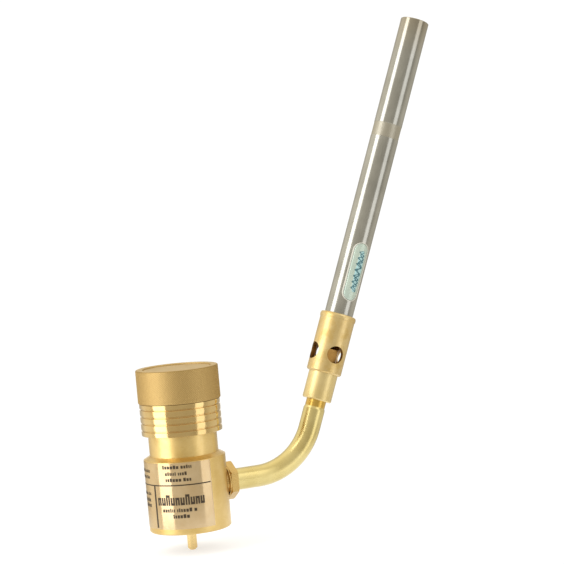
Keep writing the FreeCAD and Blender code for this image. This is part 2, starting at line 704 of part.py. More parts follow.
def flame_holder():
    top = HOLDER_BOTTOM_Z + HOLDER_THICKNESS
    disc = ring(HOLDER_HUB_RADIUS, BURNER_RADIUS - BURNER_WALL, HOLDER_BOTTOM_Z, top)
    holes = []
    for index in range(HOLDER_HOLE_COUNT):
        hole = rod(HOLDER_HOLE_RADIUS, HOLDER_BOTTOM_Z - OVERRUN, top + OVERRUN)
        hole.translate(Vector(HOLDER_HOLE_CIRCLE, 0, 0))
        hole.rotate(ORIGIN, Z_AXIS, index * FULL_TURN / HOLDER_HOLE_COUNT)
        holes.append(hole)
    return onto_burner(disc.cut(holes))


def body_label():
    height = BODY_LABEL_TOP_Z - BODY_LABEL_BOTTOM_Z
    corner = Vector(BODY_RADIUS, 0, BODY_LABEL_BOTTOM_Z)
    sheet = Part.makePlane(LABEL_THICKNESS, height, corner, Vector(0, -1, 0), X_AXIS)
    label = sheet.revolve(ORIGIN, Z_AXIS, BODY_LABEL_SWEEP_DEG)
    label.rotate(ORIGIN, Z_AXIS, BODY_LABEL_START_DEG)
    return label


def tube_label():
    """Thin label with round ends, wrapped on the burner tube."""
    end_radius = TUBE_LABEL_WIDTH / 2
    bottom = TUBE_LABEL_BOTTOM_Z + end_radius
    top = TUBE_LABEL_BOTTOM_Z + TUBE_LABEL_LENGTH - end_radius
    flat_half_width = BURNER_RADIUS * math.sin(end_radius / BURNER_RADIUS)
    outline = Part.makeBox(
        2 * BURNER_RADIUS, 2 * flat_half_width, top - bottom, Vector(0, -flat_half_width, bottom))
    for height in (bottom, top):
        end = Part.makeCylinder(flat_half_width, 2 * BURNER_RADIUS, Vector(0, 0, height), X_AXIS)
        outline = outline.fuse(end)
    skin = ring(BURNER_RADIUS, BURNER_RADIUS + LABEL_THICKNESS, TUBE_LABEL_BOTTOM_Z, top + end_radius)
    label = skin.common(outline).removeSplitter()
    label.rotate(ORIGIN, Z_AXIS, TUBE_LABEL_ANGLE_DEG)
    return onto_burner(label)


NODES = (
    valve_body, inlet_probe, inlet_seal, inlet_filter, valve_seat, poppet, poppet_spring,
    diaphragm, slip_ring, diaphragm_plate, bonnet, regulating_spring, spring_button,
    adjusting_screw, stop_ring, control_knob, knob_cap, knob_screw, outlet_nut, outlet_olive,
    gas_tube, orifice_collar, jet_filter, gas_jet, mixer_sleeve, burner_tube, swirl_vane,
    flame_holder, body_label, tube_label,
)

for build in NODES:
    build().exportStep("parts/" + build.__name__ + ".step")
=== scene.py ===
import math

import bmesh
import bpy
from mathutils import Matrix, Vector


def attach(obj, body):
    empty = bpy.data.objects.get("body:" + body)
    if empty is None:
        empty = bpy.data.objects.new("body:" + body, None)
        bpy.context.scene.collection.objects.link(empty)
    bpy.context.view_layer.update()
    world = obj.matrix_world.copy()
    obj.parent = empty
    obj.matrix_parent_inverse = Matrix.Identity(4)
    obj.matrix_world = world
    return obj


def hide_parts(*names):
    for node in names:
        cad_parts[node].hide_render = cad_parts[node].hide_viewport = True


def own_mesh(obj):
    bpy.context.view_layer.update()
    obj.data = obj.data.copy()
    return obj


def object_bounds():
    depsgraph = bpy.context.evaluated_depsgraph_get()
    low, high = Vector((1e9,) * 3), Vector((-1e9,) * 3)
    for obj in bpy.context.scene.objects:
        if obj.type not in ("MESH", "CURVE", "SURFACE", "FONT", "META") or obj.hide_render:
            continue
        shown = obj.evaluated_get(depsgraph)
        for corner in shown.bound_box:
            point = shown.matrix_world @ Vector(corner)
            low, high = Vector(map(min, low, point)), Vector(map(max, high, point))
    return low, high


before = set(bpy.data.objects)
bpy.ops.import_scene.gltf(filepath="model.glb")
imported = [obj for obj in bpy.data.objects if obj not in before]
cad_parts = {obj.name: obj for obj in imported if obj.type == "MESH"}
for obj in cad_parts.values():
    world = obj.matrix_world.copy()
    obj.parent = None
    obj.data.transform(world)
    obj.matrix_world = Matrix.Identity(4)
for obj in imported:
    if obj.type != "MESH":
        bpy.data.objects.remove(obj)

CAD_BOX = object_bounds()
MM = 0.001

# Camera; its azimuth is measured from the -Y side towards +X
CAMERA_AZIMUTH = math.radians(-23.55)
CAMERA_ELEVATION = math.radians(3.77)
CAMERA_ROLL = math.radians(-5.0)
CAMERA_DISTANCE = 906.6 * MM
CAMERA_TARGET = Vector((44.0, -19.2, 101.6)) * MM
CAMERA_LENS = 136.1

# Driving dimensions of the metal parts, as on the CAD model
BODY_RADIUS = 17.5 * MM
BURNER_RADIUS = 6.35 * MM
SLEEVE_RADIUS = 7.75 * MM
LABEL_THICKNESS = 0.12 * MM
OUTLET_HEIGHT = 17.7 * MM
BEND_START = 33.3 * MM
BEND_RADIUS = 28.0 * MM
BURNER_LEAN = math.radians(21.5)

# Heights along the burner axis
NECK_BOTTOM = 9.3 * MM
CHAMBER_BOTTOM = 26.4 * MM
CHAMBER_TOP = 40.0 * MM
CRIMP_CENTRE = 135.3 * MM
CRIMP_LENGTH = 6.2 * MM
BURNER_TIP = 186.7 * MM

# Rule round the body label; its angles are measured about Z from +X
PRINT_THICKNESS = 0.03 * MM
RULE_START = math.radians(106)
RULE_END = math.radians(284)
RULE_HEIGHT = 21.3 * MM
RULE_THICKNESS = 0.5 * MM

# Other print on the body; its angles run to the right from the side that faces the camera
FACING = CAMERA_AZIMUTH - math.pi / 2
DIVIDER_ANGLE = math.radians(-47.7)
DIVIDER_HALF_ANGLE = 0.026
DIVIDER_FOOT = 3.2 * MM
MARK_ANGLE = math.radians(-8)
MARK_SWEEP = math.radians(70)
MARK_SIZE = 3.3 * MM
MARK_HEIGHT = 14.5 * MM
MARK_PAIRS = 10

# Lines of small print: (middle in degrees, width in degrees, letter size in mm, height in mm)
SMALL_PRINT = (
    (-9, 43, 1.2, 28.9),
    (-9.5, 35, 1.2, 26.1),
    (-8, 38, 1.2, 23.5),
    (-8.5, 54, 1.3, 10.6),
    (-7, 26, 1.3, 8.0),
    (-72, 34, 1.1, 27.1),
    (-72, 28, 1.1, 24.5),
    (-73, 30, 1.1, 17.4),
    (-68, 24, 1.3, 14.7),
    (-67, 20, 1.3, 12.4),
)

# Oval label on the burner tube
TUBE_LABEL_BOTTOM = 57.3 * MM
TUBE_LABEL_LENGTH = 27.0 * MM
TUBE_LABEL_WIDTH = 8.0 * MM
TUBE_LABEL_ANGLE = math.radians(270)
TUBE_LABEL_RIM = 0.6 * MM
TUBE_LABEL_LINE = 0.22 * MM
STRIPE_STEPS = 96

# Its stripes: (start and end along the label, shift and swing in mm, waves, half width in mm, look)
STRIPES = (
    (0.17, 0.86, 0.9, 0.0, 1, 1.5, 3),
    (0.17, 0.86, 0.6, 1.2, 7, 0.5, 1),
    (0.19, 0.84, 1.0, 0.9, 5, 0.38, 1),
)

# Control knob
KNOB_BOTTOM = 41.3 * MM
RIB_TOP = 55.3 * MM
KNOB_TOP = 69.4 * MM
KNOB_CAVITY_RADIUS = 15.4 * MM
KNOB_CAVITY_TOP = 53.5 * MM
KNOB_BORE_RADIUS = 5.0 * MM
RIB_RADIUS = 17.4 * MM
RIB_GROOVE_DEPTH = 0.55 * MM
RIB_EDGES = (0.0, 2.5, 5.6, 8.5, 11.65, 14.0)
RIB_BULGE = 0.07 * MM
RIB_POINTS = 13
GRIP_RADIUS = 17.7 * MM
GRIP_EDGE = 0.25 * MM
KNURL_DEPTH = 0.13 * MM
KNURL_AROUND = 144
KNURL_ROWS = 17
CAP_RADIUS = 14.6 * MM
CAP_RECESS = 1.35 * MM
RECESS_EDGE = 0.3 * MM

# Travel of the button and of the valve, from the joints
SCREW_TRAVEL = 3.0 * MM
VALVE_LIFT = 0.6 * MM

# Lamps: (name, azimuth from the -Y side towards +X, distance, width, radiance)
LAMPS = (
    ("left_box", math.radians(-83), 0.51, 0.352, 2.3),
    ("right_box", math.radians(36), 0.78, 0.36, 1.0),
)
LAMP_HEIGHT = 0.32
LAMP_LENGTH = 1.4

# Studio: radiance in front of the object, beside it and behind its rim, and how it leans sideways
ROOM_FRONT = 0.51
ROOM_SIDES = 0.8
ROOM_RIM = 0.64
ROOM_LEFT = 1.22
ROOM_RIGHT = 0.94
ROOM_TOP = 0.35
ROOM_TINT = (1.0, 0.93, 0.78)
WALL_GLOW = 1.05
FLOOR_RADIUS = 0.15
FLOOR_CENTRE = 0.03
FLOOR_GAP = 0.05 * MM
FLOOR_GLOW = 0.6


def axis_matrix():
    """Frame whose origin is the end of the tube's bend and whose Z is the burner axis."""
    turned = math.pi / 2 - BURNER_LEAN
    end = Vector((
        BEND_START + BEND_RADIUS * math.sin(turned),
        0,
        OUTLET_HEIGHT + BEND_RADIUS * (1 - math.cos(turned)),
    ))
    return Matrix.Translation(end) @ Matrix.Rotation(BURNER_LEAN, 4, "Y")


BURNER_AXIS = axis_matrix()


# ---------------------------------------------------------------- materials

class Graph:
    """A Principled material and short ways to add nodes to it."""

    def __init__(self, name, **sockets):
        self.material = bpy.data.materials.new(name)
        self.material.use_nodes = True
        self.nodes = self.material.node_tree.nodes
        self.links = self.material.node_tree.links
        self.shader = self.nodes["Principled BSDF"]
        for socket, value in sockets.items():
            self.shader.inputs[socket.replace("_", " ")].default_value = value

    def add(self, kind, inputs=None, **settings):
        node = self.nodes.new(kind)
        for name, value in settings.items():
            setattr(node, name, value)
        for name, value in (inputs or {}).items():
            if isinstance(value, bpy.types.NodeSocket):
                self.links.new(value, node.inputs[name])
            else:
                node.inputs[name].default_value = value
        return node

    def place(self, scale=(1, 1, 1), along="body"):
        """Object coordinates, turned so that Z runs along the piece's own axis."""
        point = self.add("ShaderNodeTexCoord").outputs["Object"]
        if along == "burner":
            point = self.add(
                "ShaderNodeMapping", {
                    "Vector": point,
                    "Location": BURNER_AXIS.translation,
                    "Rotation": (0, BURNER_LEAN, 0),
                }, vector_type="TEXTURE").outputs["Vector"]
        if along == "outlet":
            point = self.add(
                "ShaderNodeMapping", {
                    "Vector": point,
                    "Location": (0, 0, OUTLET_HEIGHT),
                    "Rotation": (0, math.pi / 2, 0),
                }, vector_type="TEXTURE").outputs["Vector"]
        return self.add("ShaderNodeMapping", {"Vector": point, "Scale": scale}).outputs["Vector"]

    def noise(self, vector, scale, detail=4.0, roughness=0.55):
        return self.add("ShaderNodeTexNoise", {
            "Vector": vector, "Scale": scale, "Detail": detail, "Roughness": roughness,
        }).outputs["Fac"]

    def remap(self, value, low, high, new_low, new_high):
        return self.add("ShaderNodeMapRange", {
            "Value": value, "From Min": low, "From Max": high,
            "To Min": new_low, "To Max": new_high,
        }).outputs["Result"]

    def math(self, operation, first, second):
        node = self.add("ShaderNodeMath", operation=operation)
        for index, value in enumerate((first, second)):
            if isinstance(value, bpy.types.NodeSocket):
                self.links.new(value, node.inputs[index])
            else:
                node.inputs[index].default_value = value
        return node.outputs["Value"]

    def mix(self, factor, first, second):
        node = self.add("ShaderNodeMix", data_type="RGBA")
        for index, value in ((0, factor), (6, first), (7, second)):
            if isinstance(value, bpy.types.NodeSocket):
                self.links.new(value, node.inputs[index])
            else:
                node.inputs[index].default_value = value
        return node.outputs[2]

    def axis_radius(self, along="body"):
        """Distance from the body axis or the burner axis."""
        parts = self.add("ShaderNodeSeparateXYZ", {"Vector": self.place(along=along)}).outputs
        squares = self.math(
            "ADD", self.math("MULTIPLY", parts["X"], parts["X"]),
            self.math("MULTIPLY", parts["Y"], parts["Y"]))
        return self.math("POWER", squares, 0.5)

    def worked(self, grain, along, scale=90.0):
        """Grain lines, the slow drift of the metal's tone, and both blended to run from 0 to 1."""
        lines = self.noise(self.place(grain, along), 1.0, detail=3.0)
        drift = self.noise(self.place(along=along), scale)
        mingled = self.math("ADD", self.math("MULTIPLY", lines, 0.5), drift)
        return lines, drift, self.remap(mingled, 0.5, 1.0, 0, 1)

    def bump(self, height, strength, distance=0.02 * MM):
        return self.add("ShaderNodeBump", {
            "Height": height, "Strength": strength, "Distance": distance,
        }).outputs["Normal"]

    def feed(self, **sockets):
        for socket, value in sockets.items():
            self.links.new(value, self.shader.inputs[socket.replace("_", " ")])
        return self.material


def rgb(red, green, blue):
    """Linear colour from 0-255 display values."""
    def linear(value):
        value = value / 255
        return value / 12.92 if value <= 0.04045 else ((value + 0.055) / 1.055) ** 2.4
    return (linear(red), linear(green), linear(blue), 1.0)


def metal(name, light, dark, roughness, grain, along="body", depth=0.25, spread=0.06, coat=0.6):
    """Worked metal: grain lines, slow colour drift, small smudges."""
    graph = Graph(name, Metallic=1.0, Coat_Weight=coat, Coat_Roughness=0.1)
    lines, _, blend = graph.worked(grain, along)
    smudge = graph.noise(graph.place(along=along), 420.0, detail=6.0)
    colour = graph.mix(blend, dark, light)
    rough = graph.remap(smudge, 0.3, 0.7, roughness - spread / 2, roughness + spread)
    normal = graph.bump(lines, depth)
    return graph.feed(Base_Color=colour, Roughness=rough, Normal=normal)


TURNED = (900, 900, 9000)
DRAWN = (9000, 9000, 350)
EVEN = (2500, 2500, 2500)


def knurl_metal():
    """Matt brass, coloured lighter towards the crests of the knurl and darker towards the grooves between
    them.
    """
    graph = Graph("knurl_brass", Metallic=1.0)
    crest = graph.remap(graph.axis_radius(), GRIP_RADIUS - KNURL_DEPTH, GRIP_RADIUS, 0, 1)
    grain = graph.noise(graph.place(EVEN), 1.0)
    grainy = graph.math("ADD", crest, graph.math("MULTIPLY", grain, 0.4))
    crest_tone = graph.remap(grainy, 0.25, 1.2, 0, 1)
    colour = graph.mix(crest_tone, rgb(176, 147, 92), rgb(228, 200, 142))
    rough = graph.remap(crest_tone, 0, 1, 0.6, 0.46)
    return graph.feed(Base_Color=colour, Roughness=rough, Normal=graph.bump(grain, 0.2))


def film(name, light, dark, metallic, roughness):
    graph = Graph(name, Metallic=metallic, Coat_Weight=0.3, Coat_Roughness=0.06,
                  Specular_IOR_Level=0.2, Specular_Tint=(0.6, 0.52, 0.4, 1))
    drift = graph.noise(graph.place(), 160.0)
    fine = graph.noise(graph.place(), 1800.0)
    colour = graph.mix(graph.remap(drift, 0.3, 0.7, 0, 1), dark, light)
    rough = graph.remap(fine, 0.3, 0.7, roughness - 0.03, roughness + 0.04)
    return graph.feed(Base_Color=colour, Roughness=rough, Normal=graph.bump(drift, 0.1))


def ink(name, light, dark):
    graph = Graph(name, Metallic=0.0)
    fine = graph.noise(graph.place(), 3000.0)
    colour = graph.mix(graph.remap(fine, 0.3, 0.7, 0, 1), dark, light)
    return graph.feed(Base_Color=colour, Roughness=graph.remap(fine, 0.3, 0.7, 0.35, 0.55))


def height_band(graph, low, high, edge):
    """1 between two heights along the burner axis and 0 elsewhere, with soft edges."""
    height = graph.add("ShaderNodeSeparateXYZ", {"Vector": graph.place(along="burner")}).outputs["Z"]
    rise = graph.remap(height, low - edge, low + edge, 0, 1)
    fall = graph.remap(height, high - edge, high + edge, 1, 0)
    return graph.math("MULTIPLY", rise, fall)


def sleeve_brass():
    """Blotched satin brass, with painted shade darkening the inner walls of the mixing chamber and the air
    holes to brown.
    """
    graph = Graph("sleeve_brass", Metallic=1.0, Coat_Weight=0.6, Coat_Roughness=0.1)
    lines, _, blend = graph.worked(TURNED, "burner")
    smudge = graph.noise(graph.place(along="burner"), 420.0, detail=6.0)
    satin = graph.mix(blend, rgb(212, 183, 118), rgb(234, 213, 160))
    blotch = graph.noise(graph.place(along="burner"), 230.0, detail=5.0)
    clean = graph.mix(graph.remap(blotch, 0.5, 0.66, 0, 0.55), satin, rgb(206, 172, 92))
    # Painted shade: the inner walls of the mixing chamber and air holes are darkened to brown.
    inside = graph.remap(
        graph.axis_radius("burner"), SLEEVE_RADIUS - 0.7 * MM, SLEEVE_RADIUS - 0.1 * MM, 1, 0)
    painted_chamber_shade = graph.math("MULTIPLY", inside, height_band(graph, CHAMBER_BOTTOM, CHAMBER_TOP, 0.3 * MM))
    colour = graph.mix(painted_chamber_shade, clean, rgb(150, 108, 52))
    rough = graph.math(
        "ADD", graph.remap(smudge, 0.3, 0.7, 0.38, 0.47), graph.math("MULTIPLY", painted_chamber_shade, 0.2))
    return graph.feed(Base_Color=colour, Roughness=rough, Normal=graph.bump(lines, 0.25))


def burner_steel():
    """Drawn stainless tube with a dull crimped band and a heat-tinted mouth."""
    graph = Graph("burner_steel", Metallic=1.0, Coat_Weight=0.5, Coat_Roughness=0.12)
    lines, drift, blend = graph.worked(DRAWN, "burner", scale=60.0)
    half = CRIMP_LENGTH / 2
    band = height_band(graph, CRIMP_CENTRE - half, CRIMP_CENTRE + half, 0.25 * MM)
    mouth = height_band(graph, BURNER_TIP - 9 * MM, BURNER_TIP + 9 * MM, 7 * MM)
    clean = graph.mix(blend, rgb(153, 153, 148), rgb(187, 187, 182))
    tinted = graph.mix(graph.math("MULTIPLY", mouth, 0.5), clean, rgb(160, 146, 118))
    colour = graph.mix(graph.math("MULTIPLY", band, 0.8), tinted, rgb(176, 171, 156))
    rough = graph.math(
        "ADD", graph.remap(drift, 0.3, 0.7, 0.15, 0.22), graph.math("MULTIPLY", band, 0.26))
    return graph.feed(Base_Color=colour, Roughness=rough, Normal=graph.bump(lines, 0.2))


def tube_brass():
    """Pale drawn brass, stained darker where it was soldered into the collar."""
    graph = Graph("tube_brass", Metallic=1.0, Coat_Weight=0.5, Coat_Roughness=0.2)
    grain = graph.noise(graph.place(EVEN), 1.0, detail=3.0)
    drift = graph.noise(graph.place(), 90.0)
    stain = height_band(graph, NECK_BOTTOM, NECK_BOTTOM + 20 * MM, 0.3 * MM)
    clean = graph.mix(graph.remap(drift, 0.3, 0.7, 0, 1), PALE_BRASS_DARK, PALE_BRASS)
    colour = graph.mix(stain, clean, rgb(216, 178, 84))
    rough = graph.remap(drift, 0.3, 0.7, 0.24, 0.32)
    return graph.feed(Base_Color=colour, Roughness=rough, Normal=graph.bump(grain, 0.03))


def rubber():
    graph = Graph("seal_rubber_look")
    fine = graph.noise(graph.place(), 2500.0)
    colour = graph.mix(fine, rgb(22, 22, 22), rgb(48, 47, 45))
    return graph.feed(Base_Color=colour, Roughness=graph.remap(fine, 0.3, 0.7, 0.5, 0.7),
                      Normal=graph.bump(fine, 0.2))


BRASS = rgb(232, 205, 143)
BRASS_DARK = rgb(214, 181, 107)
PALE_BRASS = rgb(226, 210, 146)
PALE_BRASS_DARK = rgb(210, 191, 124)
RICH_BRASS = rgb(236, 209, 145)
RICH_BRASS_DARK = rgb(214, 181, 115)

MATERIALS = {
    "body": metal("satin_brass", BRASS, BRASS_DARK, 0.38, TURNED, coat=0.3),
    "neck": metal("neck_brass", RICH_BRASS, BRASS_DARK, 0.4, TURNED),
    "ribs": metal("polished_brass", BRASS, RICH_BRASS_DARK, 0.12, TURNED, depth=0.12, coat=1.0),
    "cap": metal("cap_brass", rgb(214, 190, 140), rgb(200, 172, 116), 0.5, TURNED, coat=0.0),
    "knurl": knurl_metal(),
    "nut": metal("nut_brass", rgb(212, 181, 115), rgb(190, 156, 92), 0.26, EVEN, along="outlet", coat=0.3),
    "tube": tube_brass(),
    "collar": metal("collar_brass", rgb(238, 219, 164), rgb(224, 201, 138), 0.41, TURNED, along="burner"),
    "sleeve": sleeve_brass(),
    # The jet and swirl vane are coloured darker brown than the other brass, painting the shade inside the
    # sleeve.
    "jet": metal("jet_brass_painted_shade", rgb(190, 150, 88), rgb(146, 108, 54), 0.38, TURNED, along="burner",
                 coat=0.0),
    "probe": metal("probe_brass", RICH_BRASS, RICH_BRASS_DARK, 0.22, TURNED),
    "inner": metal("inner_brass", BRASS, RICH_BRASS_DARK, 0.35, TURNED),
    "steel": burner_steel(),
    "holder": metal("holder_steel", rgb(150, 140, 124), rgb(110, 100, 88), 0.4, EVEN),
    "spring": metal("spring_steel_look", rgb(180, 180, 182), rgb(150, 150, 154), 0.3, EVEN),
    "bronze": metal("sintered_bronze_look", rgb(190, 150, 100), rgb(120, 85, 50), 0.6, EVEN, depth=0.8),
    "gold_film": film("gold_film_look", rgb(216, 193, 154), rgb(206, 179, 136), 0.62, 0.12),
    "pale_film": film("pale_film_look", rgb(206, 222, 212), rgb(192, 212, 206), 0.2, 0.25),
    "white_film": film("white_film_look", rgb(236, 236, 228), rgb(222, 224, 218), 0.1, 0.3),
    "ink": ink("brown_ink", rgb(60, 43, 16), rgb(38, 27, 8)),
    "teal": ink("teal_ink", rgb(84, 136, 148), rgb(56, 106, 122)),
    "cyan": ink("cyan_ink", rgb(186, 226, 232), rgb(166, 212, 222)),
    "grey_line": ink("grey_ink", rgb(150, 160, 156), rgb(128, 140, 138)),
    "rubber": rubber(),
}

NODE_LOOKS = {
    "valve_body": "body", "bonnet": "neck", "knob_cap": "cap", "outlet_nut": "nut",
    "outlet_olive": "inner", "inlet_probe": "probe", "gas_tube": "tube",
    "orifice_collar": "collar", "gas_jet": "jet", "mixer_sleeve": "sleeve",
    "burner_tube": "steel", "swirl_vane": "jet", "flame_holder": "holder",
    "inlet_filter": "bronze", "jet_filter": "bronze", "inlet_seal": "rubber",
    "valve_seat": "rubber", "diaphragm": "rubber", "poppet": "inner",
    "poppet_spring": "spring", "regulating_spring": "spring", "slip_ring": "spring",
    "diaphragm_plate": "inner", "spring_button": "inner", "adjusting_screw": "spring",
    "stop_ring": "spring", "knob_screw": "spring", "body_label": "gold_film",
    "tube_label": "white_film",
}


def dress_nodes():
    for node, look in NODE_LOOKS.items():
        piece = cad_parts[node]
        for slot in piece.material_slots:
            slot.material = MATERIALS[look]


# ---------------------------------------------------------------- pieces

def new_piece(name, mesh_builder, body, looks):
    mesh = bpy.data.meshes.new(name)
    mesh_builder.to_mesh(mesh)
    mesh_builder.free()
    piece = bpy.data.objects.new(name, mesh)
    bpy.context.scene.collection.objects.link(piece)
    for look in looks:
        mesh.materials.append(MATERIALS[look])
    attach(piece, body)
    return piece


def rib_profile():
    """Rounded ribs with narrow grooves between them, from the lower lip upwards."""
    points = []
    for low, high in zip(RIB_EDGES, RIB_EDGES[1:]):
        bottom = KNOB_BOTTOM + low * MM
        height = (high - low) * MM
        for index in range(RIB_POINTS):
            across = (1 - math.cos(math.pi * index / (RIB_POINTS - 1))) / 2
            edge = abs(2 * across - 1)
            drop = RIB_BULGE * edge ** 2 + (RIB_GROOVE_DEPTH - RIB_BULGE) * edge ** 30
            points.append((RIB_RADIUS - drop, bottom + height * (0.05 + 0.90 * across)))
    return points


def knob_rows():
    """(radius, height, look, knurled) for each ring of the knob, from inside the skirt to the cap."""
    rows = [
        (KNOB_BORE_RADIUS, KNOB_CAVITY_TOP, 0, False),
        (KNOB_CAVITY_RADIUS, KNOB_CAVITY_TOP, 0, False),
        (KNOB_CAVITY_RADIUS, KNOB_BOTTOM + RECESS_EDGE, 0, False),
        (KNOB_CAVITY_RADIUS + RECESS_EDGE, KNOB_BOTTOM, 0, False),
    ]
    rows += [(radius, height, 0, False) for radius, height in rib_profile()]
    valley = GRIP_RADIUS - KNURL_DEPTH
    rows += [
        (valley, RIB_TOP, 1, False),
        (valley + KNURL_DEPTH / 2, RIB_TOP + GRIP_EDGE / 2, 1, False),
    ]
    low = RIB_TOP + GRIP_EDGE
    high = KNOB_TOP - 2 * GRIP_EDGE
    for index in range(2 * KNURL_ROWS + 1):
        height = low + (high - low) * index / (2 * KNURL_ROWS)
        rows.append((valley, height, 1, True))
    rows += [
        (valley, KNOB_TOP - GRIP_EDGE, 1, False),
        (valley - 0.2 * GRIP_EDGE, KNOB_TOP - 0.35 * GRIP_EDGE, 1, False),
        (valley - GRIP_EDGE, KNOB_TOP, 1, False),
        (CAP_RADIUS + RECESS_EDGE, KNOB_TOP, 2, False),
        (CAP_RADIUS, KNOB_TOP - RECESS_EDGE, 2, False),
        (CAP_RADIUS, KNOB_TOP - CAP_RECESS, 2, False),
        (KNOB_BORE_RADIUS, KNOB_TOP - CAP_RECESS, 2, False),
    ]
    return rows


def control_knob():
    """One lathed piece with a real diamond knurl cut into its grip."""
    build = bmesh.new()
    around = 2 * KNURL_AROUND
    rows = knob_rows()
    rings = []
    first_knurl = next(index for index, row in enumerate(rows) if row[3])
    for number, (radius, height, look, knurled) in enumerate(rows):
        ring = []
        for step in range(around):
            angle = 2 * math.pi * step / around
            raised = knurled and (step + number - first_knurl) % 2 == 0
            reach = radius + (KNURL_DEPTH if raised else 0)
            ring.append(build.verts.new((reach * math.cos(angle), reach * math.sin(angle), height)))
        rings.append(ring)
    for number, (below, above) in enumerate(zip(rings, rings[1:])):
        knurled = rows[number][3] and rows[number + 1][3]
        for step in range(around):
            after = (step + 1) % around
            corners = (below[step], below[after], above[after], above[step])
            if knurled:
                if (step + number - first_knurl) % 2 == 0:
                    faces = [(corners[0], corners[1], corners[3]), (corners[1], corners[2], corners[3])]
                else:
                    faces = [(corners[0], corners[1], corners[2]), (corners[0], corners[2], corners[3])]
            else:
                faces = [corners]
            for face_corners in faces:
                face = build.faces.new(face_corners)
                face.material_index = max(rows[number][2], rows[number + 1][2])
                face.smooth = not knurled
    bmesh.ops.contextual_create(build, geom=rings[0])
    bmesh.ops.contextual_create(build, geom=rings[-1])
    bmesh.ops.recalc_face_normals(build, faces=build.faces)
    piece = new_piece("knob_shell", build, "knob", ("ribs", "knurl", "cap"))
    piece.data.set_sharp_from_angle(angle=math.radians(40))
    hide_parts("control_knob")


def flexing_pieces():
    """Copies of the springs and the diaphragm, fixed to the housing in place of the CAD pieces."""
    for node, joint, travel, slot in (
        ("regulating_spring", "screw_travel", SCREW_TRAVEL, "spring_steel"),
        ("poppet_spring", "valve_lift", VALVE_LIFT, "spring_steel"),
        ("diaphragm", "valve_lift", VALVE_LIFT, "seal_rubber"),
    ):
        piece = bpy.data.objects.new(node + "_flexing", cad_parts[node].data.copy())
        bpy.context.scene.collection.objects.link(piece)
        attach(piece, "housing")
        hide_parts(node)
        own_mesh(piece)


def patch(build, radius, start, end, low, high, thickness, look=0):
    """A thin curved tile on a cylinder about Z, between two angles and two heights."""
    steps = max(2, round((end - start) / math.radians(3)) + 1)
    inner = radius - 0.5 * thickness
    outer = radius + thickness
    rings = []
    for reach, height in ((inner, low), (outer, low), (outer, high), (inner, high)):
        ring = []
        for step in range(steps):
            angle = start + (end - start) * step / (steps - 1)
            ring.append(build.verts.new((reach * math.cos(angle), reach * math.sin(angle), height)))
        rings.append(ring)
    for index in range(4):
        here = rings[index]
        there = rings[(index + 1) % 4]
        for step in range(steps - 1):
            face = build.faces.new((here[step], here[step + 1], there[step + 1], there[step]))
            face.material_index = look
    for step in (0, steps - 1):
        face = build.faces.new([ring[step] for ring in rings])
        face.material_index = look


def greeked_line(build, centre, width, height, middle, seed, radius, thickness):
    """A row of small plain blocks with uneven widths, standing for a line of print."""
    cursor = centre - width / 2
    end = centre + width / 2
    index = 0
    while cursor < end:
        wobble = math.sin(12.9898 * (index + seed)) * 0.5 + 0.5
        block = height * (0.35 + 0.55 * wobble) / radius
        gap = height * (0.25 + (0.5 if index % 6 == 5 else 0.0)) / radius
        if cursor + block <= end:
            tall = height * (1.25 if (index + seed) % 4 == 0 else 1.0)
            low = middle - height / 2
            patch(build, radius, cursor, cursor + block, low, low + tall, thickness)
        cursor += block + gap
        index += 1


def notched_row(build, radius, thickness):
    """Bold row of plain stems, joined in pairs by a bar at the foot or at the head."""
    pitch = MARK_SWEEP / MARK_PAIRS
    first = FACING + MARK_ANGLE - MARK_SWEEP / 2
    low = MARK_HEIGHT - MARK_SIZE / 2
    bar = 0.3 * MARK_SIZE
    for index in range(MARK_PAIRS):
        left = first + index * pitch
        high = low + MARK_SIZE * (1.35 if index % 4 == 2 else 1.0)
        for start, end in ((0, 0.34), (0.5, 0.84)):
            patch(build, radius, left + start * pitch, left + end * pitch, low, high, thickness)
        foot = low if index % 2 else high - bar
        patch(build, radius, left + 0.34 * pitch, left + 0.5 * pitch, foot, foot + bar, thickness)


def body_print():
    """Rules and greeked print on the gold label."""
    build = bmesh.new()
    radius = BODY_RADIUS + LABEL_THICKNESS
    half_rule = RULE_THICKNESS / 2
    patch(build, radius, RULE_START, RULE_END, RULE_HEIGHT - half_rule, RULE_HEIGHT + half_rule,
          PRINT_THICKNESS)
    divider = FACING + DIVIDER_ANGLE
    patch(build, radius, divider - DIVIDER_HALF_ANGLE, divider + DIVIDER_HALF_ANGLE,
          DIVIDER_FOOT, RULE_HEIGHT, PRINT_THICKNESS)
    for line, (middle, width, size, height) in enumerate(SMALL_PRINT):
        greeked_line(build, FACING + math.radians(middle), math.radians(width), size * MM, height * MM,
                     line * 7, radius, PRINT_THICKNESS)
    notched_row(build, radius, PRINT_THICKNESS)
    bmesh.ops.recalc_face_normals(build, faces=build.faces)
    new_piece("body_print", build, "housing", ("ink",))


def wrapped(build, radius, rows, thickness, look=0, columns=10):
    """A thin tile on a cylinder about Z; each row is (height, left arc, right arc) about angle 0."""
    layers = []
    for reach in (radius - 0.5 * thickness, radius + thickness):
        grid = []
        for height, left, right in rows:
            line = []
            for column in range(columns + 1):
                angle = (left + (right - left) * column / columns) / radius
                line.append(build.verts.new((reach * math.cos(angle), reach * math.sin(angle), height)))
            grid.append(line)
        layers.append(grid)
    inner, outer = layers
    for grid in layers:
        for here, there in zip(grid, grid[1:]):
            for column in range(columns):
                face = build.faces.new((here[column], here[column + 1], there[column + 1], there[column]))
                face.material_index = look
                face.smooth = True
    rim = [(row, 0) for row in range(len(rows))]
    rim += [(len(rows) - 1, column) for column in range(1, columns + 1)]
    rim += [(row, columns) for row in range(len(rows) - 2, -1, -1)]
    rim += [(0, column) for column in range(columns - 1, 0, -1)]
    for (row, column), (next_row, next_column) in zip(rim, rim[1:] + rim[:1]):
        face = build.faces.new((
            inner[row][column], inner[next_row][next_column],
            outer[next_row][next_column], outer[row][column]))
        face.material_index = look


